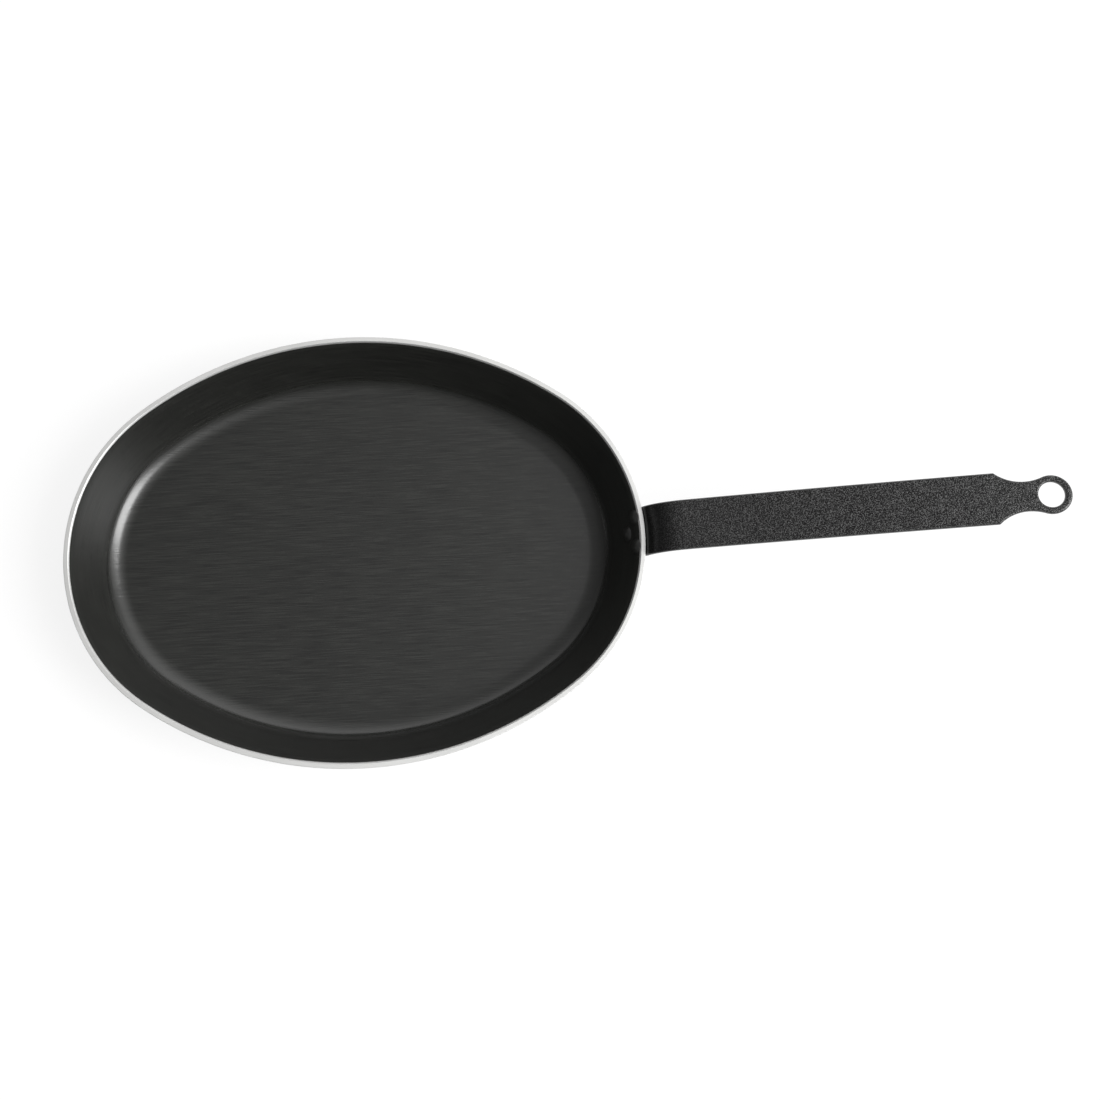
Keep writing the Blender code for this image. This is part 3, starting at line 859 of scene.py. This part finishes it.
# How crests become tones: the light crests stand partly for the enamel's own speckle and
# partly for painted glints
CREST_SPAN = (0.41, 0.67)
CREST_MIDDLE = 0.62
TONE_MIDDLE = 0.565
TONE_POWER = 1.5
ENAMEL_TONES = ((0.001,) * 3, (0.110,) * 3)
ENAMEL_EDGE_SHEEN_TONE = (0.090,) * 3
ENAMEL_SATIN = (0.16, 0.24)
EDGE_LESS_SATIN = 0.08


def make_enamel_material():
    """Dark hammered enamel: small pits between light crests, which are partly painted glints,
    and smooth in the steep bend, where its tones are darkened as painted shade. Its rounded
    edges past the bend carry a painted sheen.
    """
    material, nodes, shader = new_material("hammered_enamel", Specular_IOR_Level=0.5)
    pits = nodes.add("TexVoronoi", feature="SMOOTH_F1")
    pits.inputs["Scale"].default_value = 1.0
    pits.inputs["Smoothness"].default_value = HAMMER_SMOOTHNESS
    nodes.join(nodes.place((1 / HAMMER_PITCH,) * 3), pits.inputs["Vector"])
    speckle = nodes.even_noise(1 / SPECKLE_SIZE, detail=0.0)
    crests = nodes.weigh(pits.outputs["Distance"], speckle, PITS_SHARE)

    x = nodes.split(nodes.place())["X"]
    # Low in the bend by the rim: smooth there, and its tones darkened as painted shade
    hammered = nodes.ramp(nodes.ramp(x, HAMMERED_UNSHADED_X_SPAN), UNIT_SPAN, SHADED_SMOOTH_TO_HAMMERED)
    # Painted glints: the crests' contrast grows towards the eye
    strength = nodes.ramp(x, GLINTS_STRONGER_X_SPAN, FAINT_TO_STRONG_GLINTS)
    side = nodes.math("SUBTRACT", 1.0, nodes.flatness(EDGE_SPAN))
    # Painted sheen: the rounded edges past the bend take a lighter tone
    edge = nodes.math("MULTIPLY", side, nodes.ramp(x, SHEEN_EDGE_X_SPAN))

    swing = nodes.math("SUBTRACT", nodes.ramp(crests, CREST_SPAN), CREST_MIDDLE)
    tone = nodes.math("ADD", nodes.math("MULTIPLY", swing, strength), TONE_MIDDLE)
    tone = nodes.math("POWER", nodes.ramp(tone, UNIT_SPAN), TONE_POWER)
    # The crest tones, darkened in the bend as painted shade
    face = nodes.mix(nodes.math("MULTIPLY", tone, hammered), *ENAMEL_TONES)
    nodes.join(nodes.mix(edge, face, ENAMEL_EDGE_SHEEN_TONE), shader["Base Color"])

    satin = nodes.ramp(speckle, NOISE_SPAN, ENAMEL_SATIN)
    less = nodes.math("MULTIPLY", edge, EDGE_LESS_SATIN)
    nodes.join(nodes.math("SUBTRACT", satin, less), shader["Roughness"])
    inner = nodes.math("SUBTRACT", 1.0, edge)
    height = nodes.math("MULTIPLY", nodes.math("MULTIPLY", crests, hammered), inner)
    nodes.join(nodes.bump(height, HAMMER_DEPTH), shader["Normal"])
    return material


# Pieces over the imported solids

def dress():
    """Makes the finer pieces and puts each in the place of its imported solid."""
    coat = make_coat_material()
    aluminium = make_aluminium_material()
    enamel = make_enamel_material()
    head_coat = make_head_coat_material()
    tail_metal = make_tail_material()

    cutters = make_rivet_cutters()
    sheet = make_shell("pan_sheet", sheet_section(), aluminium, cutters)
    film = make_shell("nonstick_film", coat_section(), coat, cutters)
    bpy.data.objects.remove(cutters, do_unlink=True)
    handle = make_handle(enamel)
    pieces = [
        (sheet, "pan_body", "pan_aluminium"),
        (film, "pan_body", "nonstick_coating"),
        (handle, "handle", "handle_enamel"),
    ]
    for name, depth, angle in rivet_places():
        rivet = make_rivet(name + "_set", depth, angle, head_coat, tail_metal)
        pieces.append((rivet, name, "rivet_metal"))
    for piece, node, slot in pieces:
        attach(piece, "root")
        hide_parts(node)


# Floor, backdrop and light

FLOOR_HALF_SIZE = 3.0
FLOOR_DROP = 0.0002
FLOOR_TONE = (0.8,) * 3
FLOOR_SEEN_TONE = (0.26,) * 3
FLOOR_SEEN_GLOW = 0.80


def make_floor():
    """Pale floor. What the camera and mirrors see of it glows a little, so that it reads as
    white and keeps a faint shadow."""
    bm = bmesh.new()
    half = FLOOR_HALF_SIZE
    corners = ((-half, -half), (half, -half), (half, half), (-half, half))
    bm.faces.new([bm.verts.new((x, y, -FLOOR_DROP)) for x, y in corners])
    material = bpy.data.materials.new("pale_floor")
    material.use_nodes = True
    nodes = Nodes(material.node_tree)
    material.node_tree.nodes.clear()
    seen = seen_directly(nodes)
    matt = nodes.add("BsdfDiffuse")
    nodes.join(nodes.mix(seen, FLOOR_TONE, FLOOR_SEEN_TONE), matt.inputs["Color"])
    glow = nodes.add("Emission")
    nodes.join(nodes.math("MULTIPLY", seen, FLOOR_SEEN_GLOW), glow.inputs["Strength"])
    both = nodes.add("AddShader")
    nodes.join(matt.outputs[0], both.inputs[0])
    nodes.join(glow.outputs[0], both.inputs[1])
    output = nodes.add("OutputMaterial")
    nodes.join(both.outputs[0], output.inputs["Surface"])
    floor = make_object("floor", bm, [material])


def seen_directly(nodes):
    """One for what the camera sees itself, in a mirror or through glass."""
    path = nodes.add("LightPath")
    seen = nodes.math("MAXIMUM", path.outputs["Is Camera Ray"], path.outputs["Is Glossy Ray"])
    return nodes.math("MAXIMUM", seen, path.outputs["Is Transmission Ray"])


# Soft light from all round: direction, strength, and how tightly it is gathered
SKY_BASE = 0.062
SKY_LOBES = (
    ((0.31, 0.50, 0.81), 0.41, 14.0),
    ((0.53, 0.71, 0.47), 0.52, 14.0),
    ((0.70, -0.22, 0.68), 2.00, 9.5),
    ((0.07, 1.00, 0.00), 1.12, 4.1),
    ((-0.34, -0.38, 0.86), 0.25, 3.3),
)
HORIZON_HEIGHT = 0.04


def make_world():
    """Studio light by direction, and a white backdrop where the camera looks past the floor."""
    world = bpy.data.worlds.new("studio")
    bpy.context.scene.world = world
    world.use_nodes = True
    tree = world.node_tree
    tree.nodes.clear()
    nodes = Nodes(tree)
    direction = nodes.add("TexCoord").outputs["Generated"]
    total = None
    for axis, strength, gather in SKY_LOBES:
        dot = nodes.add("VectorMath", operation="DOT_PRODUCT")
        nodes.join(direction, dot.inputs[0])
        dot.inputs[1].default_value = Vector(axis).normalized()
        falloff = nodes.math("SUBTRACT", dot.outputs["Value"], 1.0)
        falloff = nodes.math("EXPONENT", nodes.math("MULTIPLY", falloff, gather))
        lobe = nodes.math("MULTIPLY", falloff, strength)
        total = lobe if total is None else nodes.math("ADD", total, lobe)
    sky = nodes.math("ADD", total, SKY_BASE)

    low = nodes.ramp(nodes.split(direction)["Z"], (0.0, HORIZON_HEIGHT), (1.0, 0.0))
    path = nodes.add("LightPath")
    mirrored = nodes.math("MULTIPLY", path.outputs["Is Glossy Ray"], low)
    white = nodes.math("MAXIMUM", path.outputs["Is Camera Ray"], mirrored)
    background = nodes.add("Background")
    background.inputs["Color"].default_value = (1.0, 1.0, 1.0, 1.0)
    nodes.join(nodes.between(white, sky, 1.0), background.inputs["Strength"])
    output = nodes.add("OutputWorld")
    nodes.join(background.outputs[0], output.inputs["Surface"])


def add_softbox(name, direction, distance, width, height, radiance):
    """A soft rectangular lamp that faces the pan. A radiance of 1 makes its face white."""
    light = bpy.data.lights.new(name, "AREA")
    light.shape = "RECTANGLE"
    light.size = width
    light.size_y = height
    light.energy = math.pi * width * height * radiance
    lamp = bpy.data.objects.new(name, light)
    away = Vector(direction).normalized()
    lamp.location = away * distance
    lamp.rotation_euler = away.to_track_quat("Z", "Y").to_euler()
    lamp.visible_camera = False
    bpy.context.scene.collection.objects.link(lamp)


# The key light, brighter in the middle: name, distance, width, height and radiance
KEY_DIRECTION = (0.715, -0.235, 0.658)
KEY_SOFTBOXES = (
    ("key_softbox", 3.00, 1.98, 2.38, 1.7),
    ("key_softbox_middle", 2.98, 1.28, 1.84, 4.8),
)


def make_lights():
    for name, *measures in KEY_SOFTBOXES:
        add_softbox(name, KEY_DIRECTION, *measures)


# Camera: nearly overhead, with the photograph's off-centre crop as a small shift. Its turn
# is in degrees, and its lens and sensor are in millimetres.
CAMERA_PLACE = (0.03354, -0.11448, 0.82919)
CAMERA_TURN = (12.433, -1.332, -3.127)
CAMERA_LENS = 41.737
CAMERA_SENSOR = 36.0
CAMERA_SHIFT_X = 0.0909
CAMERA_SHIFT_Y = -0.0909
CAMERA_CLIP_START = 0.01
CAMERA_CLIP_END = 50.0


def make_camera():
    data = bpy.data.cameras.new("camera")
    data.sensor_width = CAMERA_SENSOR
    data.lens = CAMERA_LENS
    data.shift_x = CAMERA_SHIFT_X
    data.shift_y = CAMERA_SHIFT_Y
    data.clip_start = CAMERA_CLIP_START
    data.clip_end = CAMERA_CLIP_END
    camera = bpy.data.objects.new("camera", data)
    camera.location = CAMERA_PLACE
    camera.rotation_euler = Euler([math.radians(angle) for angle in CAMERA_TURN], "XYZ")
    bpy.context.scene.collection.objects.link(camera)
    bpy.context.scene.camera = camera


dress()
make_floor()
make_world()
make_lights()
make_camera()
bpy.context.scene.view_settings.view_transform = "Standard"
